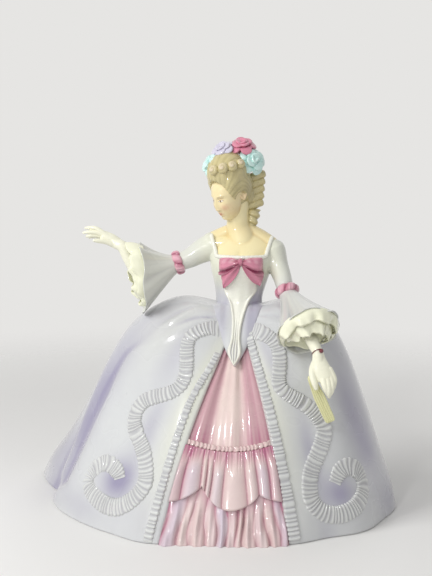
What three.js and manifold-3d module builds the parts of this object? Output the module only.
// Porcelain figurine of a lady in an eighteenth-century court dress, built as the separate castings
// that are luted together before firing. Millimetres, +Z up. She faces -Y, so her right hand is at -X.
// The origin is on the flat underside, straight below the waist.
import * as THREE from "three";
import { mergeVertices } from "three/addons/utils/BufferGeometryUtils.js";
import Module from "manifold-3d";

const wasm = await Module();
wasm.setup();

// Driving dimensions
const joinGap = 0.35; // slip joint between two castings
const trimGap = 0.5; // slip layer under the applied ribbons
const finestDetail = 0.12; // smaller steps than this are left out of a cut
const skirtWall = 3;
const waistHeight = 127;
const waistHalfWidth = 14;
const waistHalfDepth = 11;
const hemHalfWidth = 108;
const hemHalfDepth = 80;
const hemCentreX = -8; // the train sweeps to her right
const hemCentreY = 2;
const basePlateThickness = 3;
const ventRadius = 6;
const petticoatRecess = 2;
const petticoatWall = 2.5;
const scrollWidth = 8.6;
const scrollHeight = 1.5;
const trimRight = { first: 0.33, border: 3.4, top: 3.8, hem: 5.8 }; // set in from the edge by a plain border
const trimLeft = { first: 0.27, border: 0, top: 4.6, hem: 7.6 };
const trimHeight = 1.3;
const ribPitch = 4.6; // one gather of the ribbons
const neckRadius = 6.7;
const headHeight = 30;
const sleeveRadius = 6.6;
const sleeveBandWidth = 5.6;
const sleeveBandRadius = 7.7;
const wristRadius = 3.1;
const frillThickness = 1.3;
const fanLength = 31.5;
const fanWidth = 5.2;
const fanThickness = 2.6;

// Soft folds of the overskirt: where they stand round the hem, how far out, and how wide
const folds = [
  { at: 179, out: -5, spread: 5 },
  { at: 186, out: 3.5, spread: 18 },
  { at: -140, out: 1.8, spread: 12 },
  { at: -119, out: 7.2, spread: 13 },
  { at: -42, out: -4.2, spread: 11 },
  { at: -11, out: -5.6, spread: 14 },
  { at: 30, out: 4, spread: 9 },
  { at: 58, out: 5, spread: 10 },
  { at: 82, out: -3, spread: 7 },
  { at: 100, out: 6, spread: 9 },
  { at: 122, out: -3, spread: 7 },
  { at: 138, out: 5, spread: 8 },
];

// The train swings out to her right towards the hem, and the panniers push out both hips
const train = { at: 153, out: 50, spread: 18 };
const panniers = [{ at: 0, out: 4.6 }, { at: 180, out: 5.6 }];
const pannierSpread = 40;

// Skirt profiles from waist to hem: share of the way out, and height as a share of the waist height
const sideProfile = [
  [0, 1], [0.09, 1.028], [0.22, 1.031], [0.4, 0.953], [0.53, 0.831], [0.635, 0.677],
  [0.73, 0.512], [0.81, 0.362], [0.88, 0.236], [0.955, 0.11], [1, 0],
];
const frontProfile = [
  [0, 1], [0.055, 0.961], [0.125, 0.906], [0.235, 0.819], [0.36, 0.724], [0.49, 0.622],
  [0.62, 0.504], [0.74, 0.37], [0.85, 0.228], [0.94, 0.102], [1, 0],
];

// Front opening of the overskirt, in degrees round the skirt
const openingCentre = -87.2;
const openingAtWaist = 4;
const openingSpread = 22;

// Routes of the two ribbon scrolls: degrees round the skirt, and share of the way down
const scrollRouteRight = [
  [-114, 0.254], [-127, 0.272], [-132, 0.33], [-127, 0.385], [-122, 0.44], [-122, 0.505],
  [-132, 0.53], [-140, 0.56], [-141.5, 0.6], [-138.5, 0.65], [-131.5, 0.705], [-126.5, 0.765],
  [-125, 0.81], [-128, 0.868], [-137.5, 0.91], [-147, 0.897], [-154, 0.85], [-154, 0.795],
  [-148, 0.76], [-142, 0.772], [-139.5, 0.8],
];
const scrollRouteLeft = [
  [-59, 0.262], [-50, 0.305], [-45.5, 0.345], [-47, 0.395], [-53, 0.455], [-51.5, 0.505],
  [-43, 0.54], [-36, 0.57], [-33.8, 0.605], [-36.5, 0.652], [-42.5, 0.705], [-48, 0.768],
  [-49.5, 0.825], [-46, 0.886], [-37.5, 0.906], [-29, 0.884], [-24, 0.84], [-24, 0.79],
  [-30, 0.758], [-35, 0.77], [-36.5, 0.8],
];

// Small vector helpers
const at = (x, y, z) => new THREE.Vector3(x, y, z);
const plus = (p, x, y, z) => at(p.x + x, p.y + y, p.z + z);
const along = (p, direction, distance) => p.clone().addScaledVector(direction, distance);
const between = (p, q, share) => p.clone().lerp(q, share);
const mix = (a, b, share) => a + (b - a) * share;
const radians = THREE.MathUtils.degToRad;
const smooth = (low, high, value) => THREE.MathUtils.smoothstep(value, low, high);
const bump = (value, centre, spread) => Math.exp(-(((value - centre) / spread) ** 2));

// Smooth curve through a table of rows, read at a share of its length
function readTable(table, share) {
  const last = table.length - 1;
  const place = THREE.MathUtils.clamp(share, 0, 1) * last;
  const i = Math.min(Math.floor(place), last - 1);
  const u = place - i;
  return table[i].map((unused, column) => {
    const value = (k) => {
      if (k < 0) return 2 * table[0][column] - table[1][column];
      if (k > last) return 2 * table[last][column] - table[last - 1][column];
      return table[k][column];
    };
    const [a, b, c, d] = [value(i - 1), value(i), value(i + 1), value(i + 2)];
    return 0.5 * (2 * b + (c - a) * u + (2 * a - 5 * b + 4 * c - d) * u * u + (3 * b - a - 3 * c + d) * u ** 3);
  });
}

// Geometry with its faces turned outwards
function closed(points, triangles) {
  let volume = 0;
  for (const [a, b, c] of triangles) volume += points[a].dot(points[b].clone().cross(points[c]));
  const index = triangles.flatMap(([a, b, c]) => (volume > 0 ? [a, b, c] : [a, c, b]));
  const geometry = new THREE.BufferGeometry().setFromPoints(points);
  geometry.setIndex(index);
  return geometry;
}

// Solid through closed rings of points, with a flat cap on each end
function loft(rings) {
  const count = rings[0].length;
  const points = rings.flat();
  const triangles = [];
  for (let r = 0; r + 1 < rings.length; r++)
    for (let i = 0; i < count; i++) {
      const j = (i + 1) % count;
      const [a, b, c, d] = [r * count + i, r * count + j, (r + 1) * count + j, (r + 1) * count + i];
      triangles.push([a, b, c], [a, c, d]);
    }
  for (const [ring, turned] of [[0, true], [rings.length - 1, false]]) {
    const middle = points.length;
    points.push(rings[ring].reduce((sum, p) => sum.add(p), at(0, 0, 0)).divideScalar(count));
    for (let i = 0; i < count; i++) {
      const [a, b] = [ring * count + i, ring * count + ((i + 1) % count)];
      triangles.push(turned ? [middle, b, a] : [middle, a, b]);
    }
  }
  return closed(points, triangles);
}

// Sheet with thickness: outer(u, v) and inner(u, v) for u and v from 0 to 1; a ring closes on itself in u
function sheet(outer, inner, columns, rows, ring = false) {
  const wide = ring ? columns : columns + 1;
  const points = [];
  for (const side of [outer, inner])
    for (let r = 0; r <= rows; r++) for (let c = 0; c < wide; c++) points.push(side(c / columns, r / rows));
  const place = (side, c, r) => side * wide * (rows + 1) + r * wide + (c % wide);
  const triangles = [];
  const quad = (a, b, c, d) => triangles.push([a, b, c], [a, c, d]);
  for (let r = 0; r < rows; r++)
    for (let c = 0; c < columns; c++) {
      quad(place(0, c, r), place(0, c + 1, r), place(0, c + 1, r + 1), place(0, c, r + 1));
      quad(place(1, c, r), place(1, c, r + 1), place(1, c + 1, r + 1), place(1, c + 1, r));
    }
  for (let c = 0; c < columns; c++) {
    quad(place(0, c, 0), place(1, c, 0), place(1, c + 1, 0), place(0, c + 1, 0));
    quad(place(0, c, rows), place(0, c + 1, rows), place(1, c + 1, rows), place(1, c, rows));
  }
  if (!ring)
    for (let r = 0; r < rows; r++) {
      quad(place(0, 0, r), place(0, 0, r + 1), place(1, 0, r + 1), place(1, 0, r));
      quad(place(0, columns, r), place(1, columns, r), place(1, columns, r + 1), place(0, columns, r + 1));
    }
  return closed(points, triangles);
}

// Two directions square to a third
function framed(direction, upward = at(0, 0, 1)) {
  const side = direction.clone().cross(upward).normalize();
  return [side, side.clone().cross(direction).normalize()];
}

// Ring of points in the plane of two directions
function ringAt(centre, side, up, halfSide, halfUp, count, wave = () => 1) {
  return Array.from({ length: count }, (unused, i) => {
    const angle = (i / count) * 2 * Math.PI;
    const swell = wave(angle);
    const p = along(centre, side, Math.cos(angle) * halfSide * swell);
    return p.addScaledVector(up, Math.sin(angle) * halfUp * swell);
  });
}

// Round limb through points, each with its own radius; flat is its thickness as a share of its width
function limb(points, radii, sides, flat = 1, upward = at(0, 0, 1)) {
  const rings = points.map((p, i) => {
    const before = points[Math.max(i - 1, 0)];
    const after = points[Math.min(i + 1, points.length - 1)];
    const [side, up] = framed(after.clone().sub(before).normalize(), upward);
    return ringAt(p, side, up, radii[i], radii[i] * flat, sides);
  });
  return loft(rings);
}

// Rounded capsule from one point to another
function capsule(from, to, startRadius, endRadius, sides = 8, flat = 1, upward = at(0, 0, 1)) {
  const direction = to.clone().sub(from).normalize();
  const roundness = [[-0.92, 0.38], [-0.6, 0.8], [0, 1]];
  const points = [];
  const radii = [];
  for (const [back, share] of roundness) {
    points.push(along(from, direction, back * startRadius));
    radii.push(share * startRadius);
  }
  for (const [back, share] of roundness.toReversed()) {
    points.push(along(to, direction, -back * endRadius));
    radii.push(share * endRadius);
  }
  const [side, up] = framed(direction, upward);
  return loft(points.map((p, i) => ringAt(p, side, up, radii[i], radii[i] * flat, sides)));
}

// Egg-shaped solid
function egg(centre, halfX, halfY, halfZ, around = 14, rows = 9) {
  const shape = new THREE.SphereGeometry(1, around, rows);
  shape.scale(halfX, halfY, halfZ);
  shape.rotateX(Math.PI / 2);
  return shape.translate(centre.x, centre.y, centre.z);
}

// Cutting and joining
function welded(geometry) {
  const bare = geometry.clone();
  for (const name of ["normal", "uv"]) if (bare.hasAttribute(name)) bare.deleteAttribute(name);
  return mergeVertices(bare, 1e-3);
}
function solid(geometry) {
  const shape = welded(geometry);
  const vertProperties = Float32Array.from(shape.attributes.position.array);
  const triVerts = Uint32Array.from(shape.index.array);
  return new wasm.Manifold(new wasm.Mesh({ numProp: 3, vertProperties, triVerts }));
}
function geometryOf(shape) {
  const mesh = shape.getMesh();
  const position = new THREE.BufferAttribute(Float32Array.from(mesh.vertProperties), 3);
  const geometry = new THREE.BufferGeometry().setAttribute("position", position);
  geometry.setIndex(new THREE.BufferAttribute(Uint32Array.from(mesh.triVerts), 1));
  return geometry;
}
function largest(shape) {
  return shape.decompose().reduce((best, body) => (body.volume() > best.volume() ? body : best));
}
// One closed body: loose crumbs and pockets no wider than the welding distance are dropped
function cleaned(shape) {
  const once = largest(shape.simplify(finestDetail));
  return geometryOf(largest(solid(geometryOf(once)).simplify(finestDetail / 4)));
}
function join(...geometries) {
  return cleaned(geometries.map(solid).reduce((shape, next) => shape.add(next)));
}
function common(a, b) {
  return cleaned(solid(a).intersect(solid(b)));
}
function cut(geometry, ...tools) {
  return cleaned(tools.map(solid).reduce((shape, tool) => shape.subtract(tool), solid(geometry)));
}
// The same solid with its skin moved out, to leave a slip joint round it
function grown(geometry, by = joinGap) {
  const shape = welded(geometry);
  shape.computeVertexNormals();
  const { position, normal } = shape.attributes;
  const corners = shape.index.array;
  const lean = new Float32Array(position.count).fill(1);
  const point = (i) => new THREE.Vector3().fromBufferAttribute(position, i);
  for (let i = 0; i < corners.length; i += 3) {
    const [a, b, c] = [corners[i], corners[i + 1], corners[i + 2]];
    const facing = point(b).sub(point(a)).cross(point(c).sub(point(a))).normalize();
    for (const corner of [a, b, c]) {
      const dot = facing.dot(new THREE.Vector3().fromBufferAttribute(normal, corner));
      lean[corner] = Math.min(lean[corner], dot);
    }
  }
  for (let i = 0; i < position.count; i++) {
    const moved = point(i);
    moved.addScaledVector(new THREE.Vector3().fromBufferAttribute(normal, i), by / Math.max(lean[i], 0.5));
    position.setXYZ(i, moved.x, moved.y, moved.z);
  }
  shape.deleteAttribute("normal");
  return shape;
}

// Geometry cut back from its neighbours with a slip joint; the second cut takes off what cleaning left
function clearOf(geometry, ...neighbours) {
  const trimmed = cut(geometry, ...neighbours, ...neighbours.map((neighbour) => grown(neighbour)));
  return cut(trimmed, ...neighbours, ...neighbours.map((neighbour) => grown(neighbour, joinGap / 2)));
}

// Glazes
const glaze = (color, roughness = 0.18) => new THREE.MeshStandardMaterial({ color, roughness, metalness: 0 });
const lilacGlaze = glaze(0xcfcdda);
const paleGlaze = glaze(0xdcdce0);
const creamGlaze = glaze(0xe2e4cd);
const roseGlaze = glaze(0xc98aa4);
const pinkGlaze = glaze(0xc9567f);
const skinGlaze = glaze(0xe3d3a4, 0.3);
const hairGlaze = glaze(0xb7a883, 0.35);
const aquaGlaze = glaze(0x9fd4cf);
const mauveGlaze = glaze(0xa9a3c8);
const rubyGlaze = glaze(0x7a1427);
const biscuit = glaze(0xe6e2d8, 0.6);

const figurine = new THREE.Group();
const made = {};
function piece(name, geometry, material) {
  const mesh = new THREE.Mesh(geometry, material);
  mesh.name = name;
  figurine.add(mesh);
  made[name] = geometry;
  return geometry;
}

// A piece cut back from every earlier piece that it comes near
function seated(name, geometry, material) {
  const box = new THREE.Box3().setFromBufferAttribute(geometry.attributes.position).expandByScalar(joinGap * 2);
  const near = Object.values(made).filter((other) =>
    box.intersectsBox(new THREE.Box3().setFromBufferAttribute(other.attributes.position)),
  );
  return piece(name, clearOf(geometry, ...near), material);
}

// Distance from the origin to an ellipse, in a direction
function ellipseReach(angle, halfWidth, halfDepth, centreX = 0, centreY = 0) {
  const [c, s] = [Math.cos(angle), Math.sin(angle)];
  const a = (c / halfWidth) ** 2 + (s / halfDepth) ** 2;
  const b = -2 * ((c * centreX) / halfWidth ** 2 + (s * centreY) / halfDepth ** 2);
  const k = (centreX / halfWidth) ** 2 + (centreY / halfDepth) ** 2 - 1;
  return (-b + Math.sqrt(b * b - 4 * a * k)) / (2 * a);
}

// Outer surface of the skirt, at degrees round it and a share of the way down
function skirtPoint(degrees, down) {
  const angle = radians(degrees);
  const sideways = Math.cos(angle) ** 2;
  const [frontOut, frontUp] = readTable(frontProfile, down);
  const [sideOut, sideUp] = readTable(sideProfile, down);
  const out = mix(frontOut, sideOut, sideways);
  const waist = ellipseReach(angle, waistHalfWidth, waistHalfDepth);
  const hem = ellipseReach(angle, hemHalfWidth, hemHalfDepth, hemCentreX, hemCentreY);
  let reach = mix(waist, hem, out);
  const near = (place, spread) => bump(((((degrees - place + 180) % 360) + 360) % 360) - 180, 0, spread);
  for (const fold of folds) reach += fold.out * near(fold.at, fold.spread) * out ** 1.6;
  for (const hoop of panniers) reach += hoop.out * near(hoop.at, pannierSpread) * 4 * out * (1 - out);
  reach += train.out * near(train.at, train.spread) * out ** 2.5;
  return at(reach * Math.cos(angle), reach * Math.sin(angle), mix(frontUp, sideUp, sideways) * waistHeight);
}

// Outward normal of the skirt; it lies level at the hem, so that every layer stands flat on the table
function skirtNormal(degrees, down) {
  const [turn, drop] = [0.5, 0.004];
  const low = Math.min(down, 1 - drop);
  const high = Math.max(low, drop);
  const round = skirtPoint(degrees + turn, high).sub(skirtPoint(degrees - turn, high));
  const fall = skirtPoint(degrees, high + drop).sub(skirtPoint(degrees, high - drop));
  const normal = fall.cross(round).normalize();
  normal.z *= 1 - smooth(0.86, 1, down);
  return normal.normalize();
}
const skirtLayer = (degrees, down, height) =>
  along(skirtPoint(degrees, down), skirtNormal(degrees, down), height);

// Half the width of the front opening, in degrees
const openingAt = (down) => openingAtWaist + openingSpread * (1 - Math.exp(-((down / 0.42) ** 1.5)));

// Degrees that a distance in millimetres takes up on the skirt
function degreesFor(distance, degrees, down) {
  const p = skirtPoint(degrees, down);
  return THREE.MathUtils.radToDeg(distance / Math.hypot(p.x, p.y));
}

function overskirt() {
  const degreesAt = (u, down) => {
    const half = openingAt(down);
    return mix(openingCentre + half, openingCentre + 360 - half, u);
  };
  const layer = (height) => (u, v) => {
    const down = v ** 1.25; // finer steps over the hips
    return skirtLayer(degreesAt(u, down), down, height);
  };
  return sheet(layer(0), layer(-skirtWall), 58, 11);
}

// Panel that fills the front opening between two heights, at a depth below and above the skirt's surface
function frontPanel(top, bottomAt, under, over, margin, columns, rows) {
  const place = (height) => (u, v) => {
    const side = u * 2 - 1;
    const level = mix(top, bottomAt(openingCentre + side * openingAt(top)), v);
    const half = openingAt(level) - degreesFor(margin, openingCentre, level);
    const degrees = openingCentre + side * half;
    const down = mix(top, bottomAt(degrees), v);
    return skirtLayer(degrees, down, height(degrees, down, v));
  };
  return sheet(place(over), place(under), columns, rows);
}

// Gathers of the petticoat frills, fanning out with the skirt
const pleat = (degrees, count) => Math.cos(radians((degrees - openingCentre) * count));

const bandTop = 0.65;
const bandBottom = 0.676;
const upperFlounceTop = 0.682;
const lowerFlounceTop = 0.768;
const panelTop = 0.16;

function scallop(degrees) {
  const swag = Math.abs(Math.cos(radians(((degrees + 86.3) / 27.4) * 180)));
  const depth = Math.abs(degrees + 86.3) < 13.7 ? 0.076 : 0.05;
  return 0.787 + depth * swag ** 0.8;
}

function petticoatPieces() {
  const top = petticoatRecess;
  const seat = -top + joinGap;
  piece(
    "petticoat_panel",
    frontPanel(panelTop, () => 1, () => -top - petticoatWall, () => -top, joinGap, 6, 10),
    roseGlaze,
  );
  piece(
    "petticoat_band",
    frontPanel(bandTop, () => bandBottom, () => seat, (d) => 0.7 + 0.35 * pleat(d, 11), 0.6, 26, 1),
    roseGlaze,
  );
  const flare = (down) => 1.75 * smooth(upperFlounceTop, lowerFlounceTop, down);
  piece(
    "upper_flounce",
    frontPanel(
      upperFlounceTop,
      scallop,
      (d, down) => seat + flare(down),
      (d, down) => seat + flare(down) + 1.5 + 0.45 * pleat(d, 13) * smooth(0.64, 0.8, down),
      0.6,
      30,
      3,
    ),
    roseGlaze,
  );
  const kick = (down) => 1.8 * smooth(0.87, 1, down);
  piece(
    "lower_flounce",
    frontPanel(
      lowerFlounceTop,
      () => 1,
      () => seat,
      (d, down) => seat + 1.25 + kick(down) + 0.9 * pleat(d, 17) * smooth(0.86, 0.95, down),
      0.6,
      34,
      4,
    ),
    roseGlaze,
  );
}

// Underside: a luted plate inside the hem, with the firing vent through it
function basePlate() {
  const steps = 72;
  const inside = -Math.max(skirtWall, petticoatRecess + petticoatWall) - joinGap;
  const ringAtHeight = (down, height) =>
    Array.from({ length: steps }, (unused, i) => {
      const p = skirtLayer((i / steps) * 360, down, inside);
      return at(p.x, p.y, height);
    });
  const upper = 1 - (basePlateThickness / waistHeight) * 0.95;
  const plate = loft([ringAtHeight(1, 0), ringAtHeight(upper, basePlateThickness)]);
  const vent = new THREE.CylinderGeometry(ventRadius, ventRadius, basePlateThickness * 3, 24);
  vent.rotateX(Math.PI / 2);
  vent.translate(0, hemHalfDepth * 0.35, 0);
  return cut(plate, vent);
}

// Gathered ribbon on the skirt: a route of [degrees, share down] rows, a width for each share of its length
function ribbon(route, widthAt, height, gap = trimGap) {
  const fine = 160;
  const line = Array.from({ length: fine + 1 }, (unused, i) => {
    const [degrees, down] = readTable(route, i / fine);
    return { degrees, down, point: skirtPoint(degrees, down) };
  });
  const reach = [0];
  for (let i = 1; i <= fine; i++) reach.push(reach[i - 1] + line[i].point.distanceTo(line[i - 1].point));
  const length = reach[fine];
  const gathers = Math.round(length / ribPitch);
  const stations = gathers * 2;
  const rows = [];
  for (let s = 0; s <= stations; s++) {
    const target = (s / stations) * length;
    let i = 1;
    while (i < fine && reach[i] < target) i++;
    const share = (target - reach[i - 1]) / (reach[i] - reach[i - 1]);
    const degrees = mix(line[i - 1].degrees, line[i].degrees, share);
    const down = mix(line[i - 1].down, line[i].down, share);
    rows.push({ degrees, down, point: skirtPoint(degrees, down) });
  }
  const rings = rows.map((row, s) => {
    const before = rows[Math.max(s - 1, 0)].point;
    const after = rows[Math.min(s + 1, stations)].point;
    const normal = skirtNormal(row.degrees, row.down);
    const across = normal.clone().cross(after.clone().sub(before)).normalize();
    const crest = s % 2 === 1;
    const half = (widthAt(s / stations) / 2) * (crest ? 1 : 0.88);
    const rise = height * (crest ? 1 : 0.55);
    const section = [[-half, 0], [-half * 0.7, rise], [half * 0.7, rise], [half, 0]];
    return section.map(([sideways, up]) => along(along(row.point, across, sideways), normal, gap + up));
  });
  return loft(rings);
}

// Ribbon along one side of the front opening; side is -1 for her right
function frontTrim(side, { first, border, top, hem }) {
  const last = 0.992;
  const width = (share) => mix(top, hem, share);
  const route = Array.from({ length: 12 }, (unused, i) => {
    const share = i / 11;
    const down = mix(first, last, share);
    const edge = openingCentre + side * openingAt(down);
    const inset = width(share) / 2 + 0.4 + border * smooth(0, 0.35, share);
    return [edge + side * degreesFor(inset, edge, down), down];
  });
  return ribbon(route, width, trimHeight);
}

function skirtPieces() {
  piece("overskirt", overskirt(), lilacGlaze);
  petticoatPieces();
  piece("base_plate", basePlate(), biscuit);
  const scroll = (share) =>
    scrollWidth * (0.84 + 0.16 * smooth(0.2, 0.6, share)) * (1 - 0.3 * smooth(0.9, 1, share));
  piece("scroll_ribbon_right", ribbon(scrollRouteRight, scroll, scrollHeight), paleGlaze);
  piece("scroll_ribbon_left", ribbon(scrollRouteLeft, scroll, scrollHeight), paleGlaze);
}

// Landmarks of the upper body
const waist = at(0, 0, waistHeight);
const neckBase = plus(waist, 2, 0.5, 42);
const neckTop = plus(neckBase, -1.6, -1.6, 12);
const headCentre = plus(neckTop, -6.2, -4.6, 13.4);
const rightShoulder = plus(waist, -17, 0.5, 35.4);
const rightBand = plus(rightShoulder, -20.6, -6, -9.4);
const rightOpening = plus(rightBand, -21.4, -8.5, -8.9);
const rightWrist = plus(rightBand, -31.6, -12.5, 10.2);
const leftShoulder = plus(waist, 20.5, 0, 33.5);
const leftBand = plus(leftShoulder, 9.5, -12, -21.9);
const leftOpening = plus(leftBand, 13.8, -26, -18.1);
const leftWrist = plus(leftOpening, 7.8, -10, -13.4);

// Torso rings: height above the waist, centre X, half width, front Y, back Y
const torsoRings = [
  [0.4, 0, 13.6, -13, 10.4], [5, 0, 14.1, -12, 10.4], [13, 0.4, 16, -12.9, 10.8], [21, 1, 18.2, -15.4, 11],
  [27, 1.6, 19.6, -16, 11], [33, 2, 20.6, -13.4, 10.6], [38, 2, 19.6, -9.8, 9.4], [41.5, 2, 15, -7.4, 8],
  [44, 2, 10, -6, 7],
];
const necklineBottom = 31.6;
const necklineTop = 46;

function torsoSolid() {
  const rings = torsoRings.map(([up, centreX, half, front, back]) => {
    const centre = plus(waist, centreX, (front + back) / 2, up);
    return ringAt(centre, at(1, 0, 0), at(0, 1, 0), half, (back - front) / 2, 20);
  });
  const shoulderBar = limb(
    [plus(waist, -17, 0.5, 36.4), plus(waist, -6, 0.5, 36), plus(waist, 8, 0.3, 33.8), plus(waist, 20, 0, 32)],
    [8.4, 8.8, 8.6, 7.6],
    12,
  );
  return join(loft(rings), shoulderBar);
}

// Square neckline: a wedge that widens to the shoulders, open to the front
function necklineWedge(margin) {
  const outline = new THREE.Shape();
  outline.moveTo(-12.2 + margin, necklineBottom + margin);
  outline.lineTo(16.6 - margin, necklineBottom + margin);
  outline.lineTo(19.8 - margin, necklineTop);
  outline.lineTo(-16.6 + margin, necklineTop);
  const wedge = new THREE.ExtrudeGeometry(outline, { depth: 32 - margin, bevelEnabled: false });
  wedge.rotateX(Math.PI / 2);
  return wedge.translate(0, 3 - margin, waistHeight);
}

// Pointed front of the bodice, lying on the skirt below the waist
function basque() {
  const tip = 0.395;
  const place = (height) => (u, v) => {
    const side = u * 2 - 1;
    const down = mix(0.012, tip, v);
    const reach = mix(78, 2.5, v ** 0.75);
    return skirtLayer(openingCentre + side * reach, down, height * (1 - 0.25 * v));
  };
  return sheet(place(2.4), place(trimGap), 10, 5);
}

function bodicePieces() {
  const torso = torsoSolid();
  const spigotRings = [-5, 0.8].map((up) => ringAt(plus(waist, 0, 0, up), at(1, 0, 0), at(0, 1, 0), 9.4, 6.4, 14));
  const spigot = loft(spigotRings);
  const whole = join(cut(torso, necklineWedge(0)), spigot, basque());
  seated("bodice", whole, lilacGlaze);
  const neck = limb(
    [
      plus(neckBase, 0, 0.6, -7), plus(neckBase, 0, 0.4, -1), between(neckBase, neckTop, 0.45), neckTop,
      plus(neckTop, -1, -0.4, 8),
    ],
    [neckRadius * 1.6, neckRadius * 1.4, neckRadius * 1.1, neckRadius, neckRadius * 0.94],
    16,
    0.94,
    at(0, -1, 0),
  );
  const chest = common(torso, necklineWedge(joinGap + 0.2));
  const slopePlaces = [
    [[-4, 0.6, 2], [-11, 0.6, -0.6], [-17, 0.5, -3.4]],
    [[3.4, 0.6, 2], [10, 0.5, -1.6], [16, 0.3, -6]],
  ];
  const slopes = slopePlaces.map((places) =>
    limb(places.map((place) => plus(neckBase, ...place)), [5, 5.1, 6.3], 10),
  );
  const shoulders = common(join(...slopes), necklineWedge(joinGap + 0.2));
  seated("neck_and_chest", join(chest, shoulders, cut(neck, headHollow())), skinGlaze);
}

// Head: a skull and a face rounded together, turned to her right and bowed
const headTurn = radians(-42);
const headBow = radians(24);
const headScale = headHeight / 27;
const skullEgg = { centre: at(0, 2.6, 4), half: at(9.6, 11.4, 10) };
const faceEgg = { centre: at(0, -2.6, -2.6), half: at(7.3, 7.6, 10.8) };

// Reach of an egg from the head's centre, in a direction
function eggReach(direction, centre, half) {
  const d = direction.clone().divide(half);
  const c = centre.clone().divide(half);
  const [a, b, k] = [d.lengthSq(), -2 * d.dot(c), c.lengthSq() - 1];
  return (-b + Math.sqrt(Math.max(b * b - 4 * a * k, 0))) / (2 * a);
}

// Face and skull surface in the head's own frame, where she looks along -Y
function headPoint(sideAngle, riseAngle) {
  const level = Math.cos(riseAngle);
  const direction = at(Math.sin(sideAngle) * level, -Math.cos(sideAngle) * level, Math.sin(riseAngle));
  const skull = eggReach(direction, skullEgg.centre, skullEgg.half);
  const face = eggReach(direction, faceEgg.centre, faceEgg.half);
  const sharp = 7;
  const reach = (skull ** sharp + face ** sharp) ** (1 / sharp) * 0.975;
  const p = direction.multiplyScalar(reach);
  const front = smooth(0.25, 0.75, -p.y / Math.max(Math.hypot(p.x, p.y), 1e-6)) * (p.y < 0 ? 1 : 0);
  const [x, z] = [Math.abs(p.x), p.z];
  const nose = 2.1 * bump(x, 0, 1.3) * (1 - smooth(-2.8, 2.4, z)) * smooth(-4.9, -3.3, z);
  const bridge = 0.6 * bump(x, 0, 1.4) * bump(z, 1.2, 2.4);
  const sockets = -0.95 * bump(x, 3.2, 1.7) * bump(z, 1.5, 1.3);
  const lids = 0.7 * bump(x, 3.2, 1.25) * bump(z, 1, 0.8);
  const brows = 0.4 * bump(x, 3.3, 2.4) * bump(z, 3.4, 0.9);
  const cheeks = 0.5 * bump(x, 4.3, 1.9) * bump(z, -2.6, 2);
  const lips = 0.75 * bump(x, 0, 2) * (bump(z, -6, 0.6) + bump(z, -7.2, 0.65));
  const chin = 1 * bump(x, 0, 2.4) * bump(z, -10.4, 1.6);
  p.y -= front * (nose + bridge + sockets + lids + brows + cheeks + lips + chin);
  return p.multiplyScalar(headScale);
}
const headRotation = new THREE.Matrix4()
  .makeRotationZ(headTurn)
  .multiply(new THREE.Matrix4().makeRotationX(headBow));
const headPlace = new THREE.Matrix4().makeTranslation(headCentre).multiply(headRotation);
const onHead = (x, y, z) => at(x, y, z).multiplyScalar(headScale).applyMatrix4(headPlace);

function headParts() {
  const columns = 26;
  const risings = [-74, -62, -52, -44, -37, -30, -24, -18, -12, -6, 0, 6, 12, 20, 31, 45, 66];
  const rings = risings.map((rise) =>
    Array.from({ length: columns }, (unused, i) => {
      const share = (i / columns) * 2 - 1;
      const sideAngle = Math.PI * (0.55 * share + 0.45 * share ** 3);
      return headPoint(sideAngle, radians(rise)).applyMatrix4(headPlace);
    }),
  );
  const skull = loft(rings);
  const ears = [-1, 1].map((side) => {
    const ear = egg(at(0, 0, 0), 1.3, 2, 3, 8, 6);
    ear.rotateZ(side * -0.4);
    ear.translate(side * 8.6, 1.6, 0);
    return ear.scale(headScale, headScale, headScale).applyMatrix4(headPlace);
  });
  return [skull, ...ears];
}

// Plain shape round the head, which the hair and the neck are hollowed to
const placed = (shape) => shape.scale(headScale, headScale, headScale).applyMatrix4(headPlace);
function headHollow() {
  const [skull, face] = [skullEgg, faceEgg].map(({ centre, half }) => {
    const reach = half.clone().multiplyScalar(1.11).addScalar(0.6);
    return placed(egg(centre, reach.x, reach.y, reach.z, 14, 9));
  });
  return join(skull, face);
}

// Hair dressed high over a roll, cut back from the face
function hairSolid() {
  const cap = placed(egg(at(0, 3.6, 4.4), 11.4, 12.4, 12, 16, 9));
  const roll = placed(egg(at(0, 4.5, 12.5), 11.4, 12, 11.6, 16, 9));
  const nape = placed(egg(at(0, 9, -3), 8, 6, 8, 10, 6));
  const windows = [
    egg(at(0, -11.4, -4.5), 10.4, 12.6, 17, 14, 9),
    egg(at(10.5, 0, -4), 4, 4.6, 6.4, 10, 7),
    egg(at(-10.5, 0, -4), 4, 4.6, 6.4, 10, 7),
  ];
  return cut(join(cap, roll, nape), ...windows.map(placed));
}

// Flower with ruffled petals
function blossom(centre, facing, radius, petals) {
  const [side, up] = framed(facing, Math.abs(facing.z) > 0.9 ? at(0, 1, 0) : at(0, 0, 1));
  const profile = [[-0.55, 0.5], [-0.2, 0.92], [0.16, 1], [0.46, 0.74], [0.6, 0.3]];
  return loft(
    profile.map(([forward, share]) =>
      ringAt(
        along(centre, facing, forward * radius), side, up, share * radius, share * radius, petals * 2,
        (angle) => 1 + 0.1 * Math.cos(angle * petals),
      ),
    ),
  );
}

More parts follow.
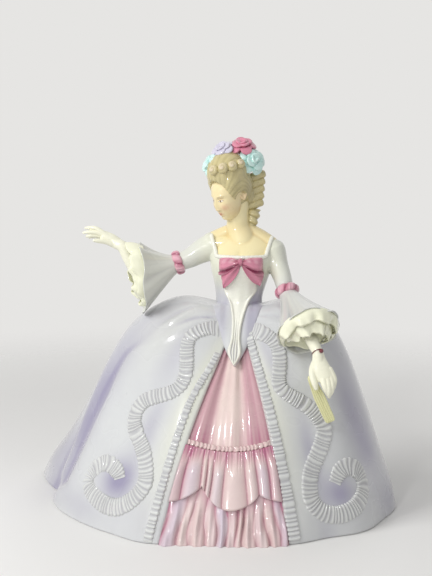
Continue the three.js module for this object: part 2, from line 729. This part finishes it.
function headPieces() {
  const parts = headParts();
  piece("coiffure", clearOf(cut(hairSolid(), headHollow()), ...parts.slice(1)), hairGlaze);
  piece("head", join(...parts), skinGlaze);
  const frontCurls = [[2.3, -5.8, 17.9], [6.9, -3.1, 17.9], [9.8, 0.9, 17.3], [10.6, 6, 16.4]];
  frontCurls.forEach((place, i) => {
    seated(`front_curl_${i + 1}`, egg(onHead(...place), 2.7, 2.7, 2.4, 10, 7), hairGlaze);
  });
  const curlRadius = 2.05 * headScale;
  const curlStep = 3.9 * headScale;
  const stack = plus(headCentre, 11.4, 6.8, 11);
  for (let i = 0; i < 5; i++) {
    const inner = plus(stack, -i * 0.25, 0, -curlStep * i - 1.2);
    const outer = plus(stack, 7.4 - i * 0.3, 2, -curlStep * i + 1.2);
    seated(`side_curl_${i + 1}`, capsule(inner, outer, curlRadius, curlRadius * 0.86, 10), hairGlaze);
  }
  const top = plus(stack, 3.4, -0.6, -curlStep * 4.6);
  const ringletLength = 10.4 * headScale;
  const turns = 8;
  const rings = Array.from({ length: turns + 1 }, (unused, i) => {
    const share = i / turns;
    const swell = 3 * headScale * (i % 2 ? 1.06 : 0.88) * (1 - 0.35 * share ** 3);
    const centre = plus(top, -1.6 * share, 0, -ringletLength * share);
    return ringAt(centre, at(1, 0, 0), at(0, 1, 0), swell, swell, 10);
  });
  seated("hanging_ringlet", loft(rings), hairGlaze);
  const crown = onHead(0, 4.5, 12.5);
  const flowers = [
    ["rose_flower", [9, 1, 15.4], [0.2, -0.3, 0.9], 7, 5, pinkGlaze],
    ["aqua_flower_left", [14.4, -2.4, 6.8], [0.75, -0.6, 0.3], 7, 6, aquaGlaze],
    ["mauve_flower", [-2.8, -1.6, 13.4], [-0.35, -0.4, 0.85], 6.4, 5, mauveGlaze],
    ["aqua_flower_right", [-11, -1.6, 3.6], [-0.9, -0.4, 0.3], 6, 6, aquaGlaze],
    ["back_flower", [3, 12, 8], [0.2, 1, 0.5], 6, 5, pinkGlaze],
  ];
  for (const [name, place, facing, radius, petals, material] of flowers)
    seated(name, blossom(plus(crown, ...place), at(...facing).normalize(), radius, petals), material);
}

// Bow on the bust
function bowPieces() {
  const middle = plus(waist, 3, -16.9, 27.8);
  seated("bow_knot", egg(plus(middle, 0, -0.4, 0.6), 1.7, 1.9, 2.3, 10, 7), pinkGlaze);
  for (const [side, name] of [[-1, "right"], [1, "left"]]) {
    const stations = [[0.6, 2.2, 1.8], [4, 4.2, 2.6], [8.4, 5.7, 3], [11.8, 6.2, 2.6], [13.2, 5.6, 1.4]];
    const loop = loft(
      stations.map(([reach, tall, deep]) => {
        const centre = plus(middle, side * reach, reach ** 2 * 0.032, 2.6 - tall);
        return ringAt(centre, at(0, 1, 0), at(0, 0, 1), deep, tall, 10);
      }),
    );
    seated(`bow_loop_${name}`, loop, pinkGlaze);
  }
  for (const [side, name] of [[-1, "right"], [1, "left"]]) {
    const drape = (depth) => (u, v) => {
      const reach = mix(1.2, 9.2, v) + (u - 0.5) * mix(2.6, 6.6, v);
      return plus(middle, side * reach, depth(v), -2.4 - v * mix(9.6, 14.6, u));
    };
    const tail = sheet(drape((v) => v - 1.2), drape(() => 7), 4, 4);
    seated(`bow_tail_${name}`, tail, pinkGlaze);
  }
}

// Surface of the bodice and the chest as seen from the front, at a place across and a height
function frontOf(...names) {
  const ray = new THREE.Raycaster();
  const shapes = names.map((name) => {
    const mesh = new THREE.Mesh(made[name], new THREE.MeshBasicMaterial({ side: THREE.DoubleSide }));
    mesh.updateMatrixWorld();
    return mesh;
  });
  let last = at(0, -waistHalfDepth, 0);
  return (x, z) => {
    ray.set(at(x, -hemHalfDepth * 2, z), at(0, 1, 0));
    const hit = ray.intersectObjects(shapes)[0];
    last = at(x, hit ? hit.point.y : last.y, z);
    return last.clone();
  };
}

// Kite-shaped pleated front of the bodice: height above the waist, left edge, right edge
const kiteRows = [
  [25, 3.3, 4.5], [18, -2.8, 9], [11.5, -7, 12.6], [6, -4.6, 9.6], [0, -2.8, 6.6], [-8, -1.6, 4.6],
  [-16, -1.7, 4.4], [-21, -3.1, 4.8], [-25, -4, 5], [-29.5, -1.8, 2.8],
];

function stomacherPiece() {
  const front = frontOf("bodice");
  const place = (height) => (u, v) => {
    const [up, left, right] = readTable(kiteRows, v);
    const x = mix(left, right, u);
    const edge = Math.abs(u * 2 - 1) > 0.8 ? 1 : 0;
    const hit = front(x, waistHeight + up);
    return plus(hit, 0, -height(u, edge), 0);
  };
  const pleats = (u, edge) => 1.3 + 0.55 * edge + 0.25 * Math.cos(u * Math.PI * 10);
  seated("stomacher", sheet(place(pleats), place(() => trimGap), 8, 8), paleGlaze);
}

function necklineEdge() {
  const front = frontOf("bodice", "neck_and_chest");
  const corners = [
    [-16.1, 43], [-14.4, 38], [-12.4, 31.6], [-4, 31.2], [6, 31.2], [16.4, 31.6], [18, 36], [19.3, 40],
  ];
  const steps = 16;
  const path = Array.from({ length: steps + 1 }, (unused, i) => {
    const [x, up] = readTable(corners, i / steps);
    return plus(front(x, waistHeight + up), 0, -0.75, 0);
  });
  const radii = path.map(() => 1);
  seated("neckline_edge", limb(path, radii, 5, 1, at(0, -1, 0.2)), paleGlaze);
}

// Rings carried from one frame to another, for sleeves and frills
function flare(from, to, steps, count, wave = () => 1, ease = (t) => t) {
  return Array.from({ length: steps + 1 }, (unused, i) => {
    const t = i / steps;
    const side = between(from.side, to.side, t).normalize();
    const up = between(from.up, to.up, t).normalize();
    const grow = ease(t);
    const centre = between(from.centre, to.centre, t);
    return ringAt(
      centre, side, up, mix(from.halfSide, to.halfSide, grow), mix(from.halfUp, to.halfUp, grow), count,
      (angle) => wave(angle, t),
    );
  });
}
function rim(centre, direction, halfSide, halfUp) {
  const [side, up] = framed(direction.clone().normalize());
  return { centre, side, up, halfSide, halfUp, direction: direction.clone().normalize() };
}
const shifted = (ring, forward, scale) => ({
  ...ring,
  centre: along(ring.centre, ring.direction, forward),
  halfSide: ring.halfSide * scale,
  halfUp: ring.halfUp * scale,
});

function sleevePieces(side, shoulderPath, shoulderRadii, band, opening, frills) {
  seated(`upper_sleeve_${side}`, limb(shoulderPath, shoulderRadii, 14), lilacGlaze);
  const [bandSide, bandUp] = framed(band.direction);
  const bandRings = [[-0.5, 0.84], [-0.34, 1], [0.34, 1], [0.5, 0.84]].map(([forward, share]) =>
    ringAt(
      along(band.centre, band.direction, forward * sleeveBandWidth),
      bandSide, bandUp, sleeveBandRadius * share, sleeveBandRadius * share, 18,
      (angle) => 1 + 0.03 * Math.cos(angle * 6),
    ),
  );
  seated(`sleeve_band_${side}`, loft(bandRings), pinkGlaze);
  const start = rim(along(band.centre, band.direction, sleeveBandWidth * 0.45), band.direction, 5.6, 5.8);
  const gathers = (angle, t) => 1 + 0.035 * t * Math.cos(angle * 9);
  const shell = loft(flare(start, opening, 6, 24, gathers, (t) => t ** 1.25));
  const floor = shifted(opening, -8.5, 0.6);
  const mouth = shifted(opening, 0.4, 1 - 1.7 / opening.halfSide);
  const hollow = loft(flare(floor, mouth, 2, 24));
  seated(`bell_sleeve_${side}`, cut(shell, hollow), lilacGlaze);
  frills.forEach(([forward, share, waves], i) => {
    const root = shifted(opening, -8.1, 0.56 - 0.11 * i);
    const lip = shifted(opening, forward, share);
    const ruffle = (angle, t) => 1 + 0.05 * t * t * Math.cos(angle * waves + i * 2);
    const rings = (inward) =>
      flare(root, lip, 3, 20, (angle, t) => ruffle(angle, t) - inward / opening.halfSide);
    const outer = rings(0);
    const inner = rings(frillThickness);
    const read = (ringSet) => (u, v) => ringSet[Math.round(v * 3)][Math.round(u * 20) % 20].clone();
    seated(`sleeve_frill_${side}_${i + 1}`, sheet(read(outer), read(inner), 20, 3, true), creamGlaze);
  });
}

// Forearm with palm, fingers and thumb, all joined
function handPiece(name, armPath, armRadii, palm, fingers) {
  const parts = [limb(armPath, armRadii, 12)];
  parts.push(capsule(palm.from, palm.to, palm.start, palm.end, 10, palm.flat, palm.across));
  for (const [knuckle, joint, tip, radius] of fingers) {
    parts.push(capsule(knuckle, joint, radius * 1.1, radius, 6), capsule(joint, tip, radius, radius * 0.8, 6));
  }
  seated(name, join(...parts), skinGlaze);
}

function armPieces() {
  const rightBell = rim(rightOpening, at(-0.93, -0.34, -0.06), 14.5, 22);
  sleevePieces(
    "right",
    [
      plus(rightShoulder, 4, 0, 0.6), plus(rightShoulder, 0, 0, 0.2), plus(rightShoulder, -7, -1.5, -2.6),
      plus(rightShoulder, -12.6, -3.6, -6), plus(rightShoulder, -18.2, -5.3, -8.4),
    ],
    [8.1, 8.5, 7.6, 6.3, 5.6],
    { centre: rightBand, direction: at(-0.93, -0.2, -0.31).normalize() },
    rightBell,
    [[4, 0.84, 7], [7, 0.64, 6]],
  );
  const leftBell = rim(leftOpening, at(0.35, -0.7, -0.62).normalize(), 20.2, 19.2);
  sleevePieces(
    "left",
    [
      plus(leftShoulder, -2.4, 0.4, 5.6), plus(leftShoulder, -1.4, 0.2, 3.6), leftShoulder,
      plus(leftShoulder, 2.8, -2.2, -7.4), plus(leftShoulder, 5.6, -5.6, -13.4), plus(leftShoulder, 8, -10.2, -19),
    ],
    [4, 6.4, 7.8, 6.6, 5.7, 5.1],
    { centre: leftBand, direction: at(0.5, -0.55, -0.67).normalize() },
    leftBell,
    [[4.5, 0.84, 7], [8.5, 0.58, 6], [6.5, 0.38, 5]],
  );

  const r = rightWrist;
  handPiece(
    "forearm_and_hand_right",
    [
      plus(rightOpening, 3, 2.4, -5), plus(rightOpening, 0, 0, 2), between(rightOpening, r, 0.6), r,
      plus(r, -2.6, -0.3, 2),
    ],
    [4.8, 4.8, 4.2, 3.4, 3.1],
    {
      from: plus(r, -2.6, -0.2, 2), to: plus(r, -10.8, -1.7, 6.4), start: 3.4, end: 4.2, flat: 0.5,
      across: at(0, -1, 0.3),
    },
    [
      [plus(r, -12.1, -2, 8.9), plus(r, -17.2, -2.7, 11.5), plus(r, -22.5, -3, 11.6), 1.35],
      [plus(r, -13, -2.2, 8), plus(r, -18.2, -3.5, 9), plus(r, -23.5, -4, 8.7), 1.35],
      [plus(r, -12.6, -1.8, 6.8), plus(r, -17.6, -2.6, 6.9), plus(r, -21.8, -3.4, 6.3), 1.3],
      [plus(r, -11.6, -1, 5.4), plus(r, -16.2, -1.2, 5), plus(r, -20, -1.4, 4.2), 1.15],
      [plus(r, -6.4, -1.4, 2.4), plus(r, -11.4, -4, 2.6), plus(r, -15.6, -6, 2.8), 1.4],
    ],
  );
  const l = leftWrist;
  handPiece(
    "forearm_and_hand_left",
    [
      plus(leftOpening, -4, 6, 5), between(leftOpening, l, 0.1), between(leftOpening, l, 0.6), l,
      plus(l, 0.8, -0.8, -3),
    ],
    [4.8, 4.8, 4.2, 3.5, 3.2],
    {
      from: plus(l, 0.8, -0.8, -3), to: plus(l, 4.6, -2.4, -11.6), start: 3.4, end: 4.4, flat: 0.55,
      across: at(0.3, -1, 0),
    },
    [
      [plus(l, 0.6, -2.6, -9.4), plus(l, -1, -5.8, -16), plus(l, -0.5, -5.6, -21.6), 1.35],
      [plus(l, 5.4, -3.4, -13), plus(l, 6.6, -6, -19.6), plus(l, 5, -6, -26.4), 1.35],
      [plus(l, 7.6, -2.4, -13), plus(l, 9, -4.4, -19.4), plus(l, 7.2, -4.8, -25.2), 1.3],
      [plus(l, 8.2, -1, -11.6), plus(l, 10, -1.8, -17.4), plus(l, 8.8, -2.6, -23), 1.15],
      [plus(l, -0.6, -0.2, -5), plus(l, -2, 1.4, -11.4), plus(l, -1, 1.6, -17), 1.35],
    ],
  );
  const wristDirection = l.clone().sub(between(leftOpening, l, 0.62)).normalize();
  const cord = (radius) => [-0.5, 0.5].map((forward) => {
    const [side, up] = framed(wristDirection);
    return ringAt(along(l, wristDirection, forward), side, up, radius, radius, 18);
  });
  const loop = cut(loft(cord(wristRadius + 1.25)), loft(cord(wristRadius + 0.2)));
  seated("bracelet", join(loop, egg(plus(l, 2.4, -4.2, 0.4), 1.7, 1.5, 1.7, 12, 8)), rubyGlaze);

  const fanTop = plus(l, -3, -2, -12.5);
  const fanDirection = at(0.345, 0.19, -0.92).normalize();
  const [fanSide, fanUp] = framed(fanDirection, at(0, -1, 0));
  const fanRings = [[0, 0.8], [0.04, 1], [0.5, 0.92], [0.96, 0.72], [1, 0.5]].map(([share, wide]) => {
    const centre = along(fanTop, fanDirection, share * fanLength);
    const [halfSide, halfUp] = [(fanWidth / 2) * wide, (fanThickness / 2) * wide];
    const section = [
      [-1, -1], [1, -1], [1, 1], [0.6, 1.14], [0.3, 0.9], [0, 1.14], [-0.3, 0.9], [-0.6, 1.14], [-1, 1],
    ];
    return section.map(([a, b]) => along(along(centre, fanSide, a * halfSide), fanUp, b * halfUp));
  });
  seated("fan", loft(fanRings), creamGlaze);
}

skirtPieces();
headPieces();
bodicePieces();
seated("front_trim_right", frontTrim(-1, trimRight), paleGlaze);
seated("front_trim_left", frontTrim(1, trimLeft), paleGlaze);
stomacherPiece();
necklineEdge();
bowPieces();
armPieces();

export default figurine;
